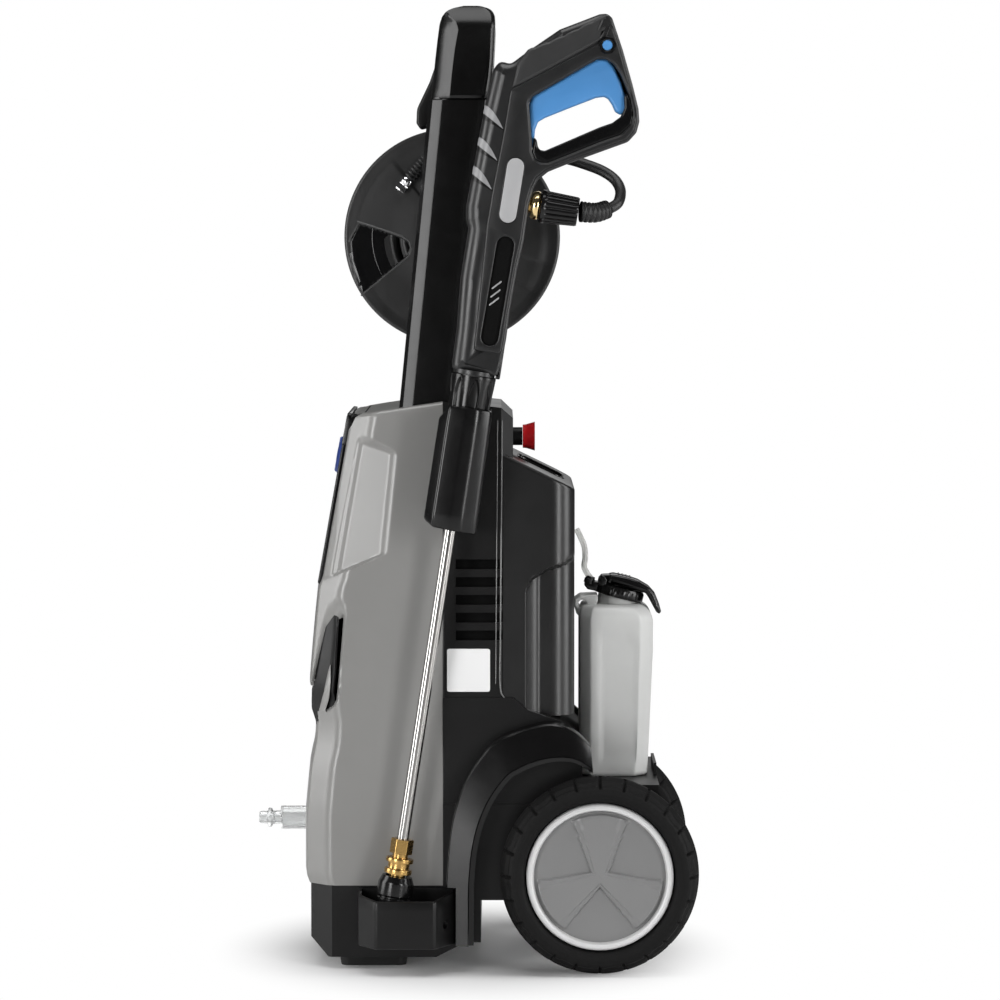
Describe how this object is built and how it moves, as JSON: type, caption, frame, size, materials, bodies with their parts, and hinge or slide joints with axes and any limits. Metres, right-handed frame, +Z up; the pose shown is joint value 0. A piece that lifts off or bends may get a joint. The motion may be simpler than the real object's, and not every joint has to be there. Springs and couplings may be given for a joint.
{
  "type": "pressure washer",
  "caption": "Upright electric pressure washer with a hose reel between two handle columns, a docked spray gun and lance, a detergent bottle and wheels.",
  "frame": {"origin": "on the floor under the middle of the machine's outline", "axes": "+Z up, -X to the front (water inlet), +X to the wheels and bottle, -Y to the side that carries the gun"},
  "size_m": [0.451, 0.362, 0.974],
  "materials": {
    "black_plastic": "satin moulded",
    "grey_plastic": "fine-grained moulded",
    "black_rubber": "matt",
    "hose_rubber": "satin",
    "tyre": "matt",
    "steel": "polished",
    "chrome": "bright",
    "brass": "machined",
    "cast_aluminium": "as cast",
    "blue_plastic": "satin moulded",
    "red_plastic": "satin moulded",
    "clear_plastic": "clear moulded",
    "clear_tube": "clear flexible",
    "white_translucent": "translucent blow-moulded"
  },
  "bodies": {
    "chassis": {"base": "black_plastic", "feet": "black_rubber", "arch_left": "black_plastic", "arch_right": "black_plastic", "lance_foot": "black_plastic", "front_cover": "grey_plastic", "control_panel": "black_plastic", "intake_grille": "black_plastic", "rear_housing": "black_plastic", "storage_bin": "black_plastic", "holster": "black_plastic", "column_left": "black_plastic", "column_right": "black_plastic", "axle": "steel", "inlet_housing": "clear_plastic", "inlet_plug": "clear_plastic", "pump_head": "brass", "pump_body": "cast_aluminium", "pistons": "steel", "motor_housing": "cast_aluminium", "capacitor": "cast_aluminium", "switch_box": "black_plastic", "outlet_pipe": "steel", "metering_valve": "black_plastic", "pressure_hose": "hose_rubber", "detergent_tube": "clear_tube"},
    "handle": {"handle_grip": "black_plastic"},
    "release_lever": {"release_lever": "black_plastic"},
    "reel": {"reel_axle": "steel", "reel_drum": "black_plastic", "reel_flange_left": "black_plastic", "reel_flange_right": "black_plastic", "hose_coil": "hose_rubber", "reel_fitting": "chrome", "crank_arm": "black_plastic"},
    "crank_knob": {"crank_knob": "black_plastic"},
    "wheel_left": {"tyre_left": "tyre", "rim_left": "grey_plastic"},
    "wheel_right": {"tyre_right": "tyre", "rim_right": "grey_plastic"},
    "motor_rotor": {"rotor": "steel", "fan": "black_plastic", "wobble_plate": "steel"},
    "gun": {"gun_shell_left": "black_plastic", "gun_shell_right": "black_plastic", "gun_valve": "brass", "hose_nut": "black_plastic", "hose_sleeve": "black_rubber", "lance_socket": "black_plastic", "lance_tube": "steel", "coupler_body": "brass", "spray_nozzle": "black_plastic"},
    "coupler_sleeve": {"coupler_sleeve": "brass"},
    "trigger": {"trigger": "blue_plastic"},
    "power_dial": {"power_dial": "blue_plastic"},
    "metering_knob": {"metering_knob": "red_plastic"},
    "bottle": {"bottle": "white_translucent", "bottle_cap": "black_plastic"},
    "bottle_lid": {"bottle_lid": "black_plastic"}
  },
  "joints": [
    {"name": "wheel_left_roll", "type": "hinge", "parent": "chassis", "child": "wheel_left", "pos_m": [0.125, -0.155, 0.1005], "axis": [0, 1, 0], "continuous": true},
    {"name": "wheel_right_roll", "type": "hinge", "parent": "chassis", "child": "wheel_right", "pos_m": [0.125, 0.155, 0.1005], "axis": [0, 1, 0], "continuous": true},
    {"name": "reel_turn", "type": "hinge", "parent": "chassis", "child": "reel", "pos_m": [-0.024, 0, 0.741], "axis": [0, 1, 0], "continuous": true},
    {"name": "crank_knob_turn", "type": "hinge", "parent": "reel", "child": "crank_knob", "pos_m": [-0.024, 0.134, 0.663], "axis": [0, 1, 0], "continuous": true},
    {"name": "handle_slide", "type": "slide", "parent": "chassis", "child": "handle", "axis": [0.0976, 0, 0.9952], "range_m": [0, 0.08]},
    {"name": "release_lever_squeeze", "type": "hinge", "parent": "handle", "child": "release_lever", "pos_m": [-0.038, 0, 0.925], "axis": [0, -1, 0], "range_deg": [0, 12], "stiffness_Nm_per_rad": 0.5, "springref_deg": -17.19},
    {"name": "gun_lift", "type": "slide", "parent": "chassis", "child": "gun", "axis": [0.1518, 0, 0.9884], "range_m": [0, 0.2], "deforming": ["pressure_hose"]},
    {"name": "trigger_squeeze", "type": "hinge", "parent": "gun", "child": "trigger", "pos_m": [0.13128, -0.151, 0.93058], "axis": [0, 1, 0], "range_deg": [0, 12], "stiffness_Nm_per_rad": 1, "springref_deg": -17.19},
    {"name": "coupler_sleeve_pull", "type": "slide", "parent": "gun", "child": "coupler_sleeve", "axis": [0.1518, 0, 0.9884], "range_m": [0, 0.004], "stiffness_N_per_m": 400, "springref_m": -0.008},
    {"name": "power_dial_turn", "type": "hinge", "parent": "chassis", "child": "power_dial", "pos_m": [-0.1396, 0, 0.516], "axis": [-0.9845, 0, 0.1754], "range_deg": [0, 90]},
    {"name": "metering_knob_turn", "type": "hinge", "parent": "chassis", "child": "metering_knob", "pos_m": [0.054, 0, 0.535], "axis": [1, 0, 0], "range_deg": [0, 270]},
    {"name": "bottle_lift", "type": "slide", "parent": "chassis", "child": "bottle", "axis": [0, 0, 1], "range_m": [0, 0.12], "deforming": ["detergent_tube"]},
    {"name": "bottle_lid_flip", "type": "hinge", "parent": "bottle", "child": "bottle_lid", "pos_m": [0.1315, 0, 0.38748], "axis": [0, -1, 0], "range_deg": [0, 95]},
    {"name": "motor_spin", "type": "hinge", "parent": "chassis", "child": "motor_rotor", "pos_m": [-0.065, 0, 0.3], "axis": [0, 0, 1], "continuous": true}
  ]
}
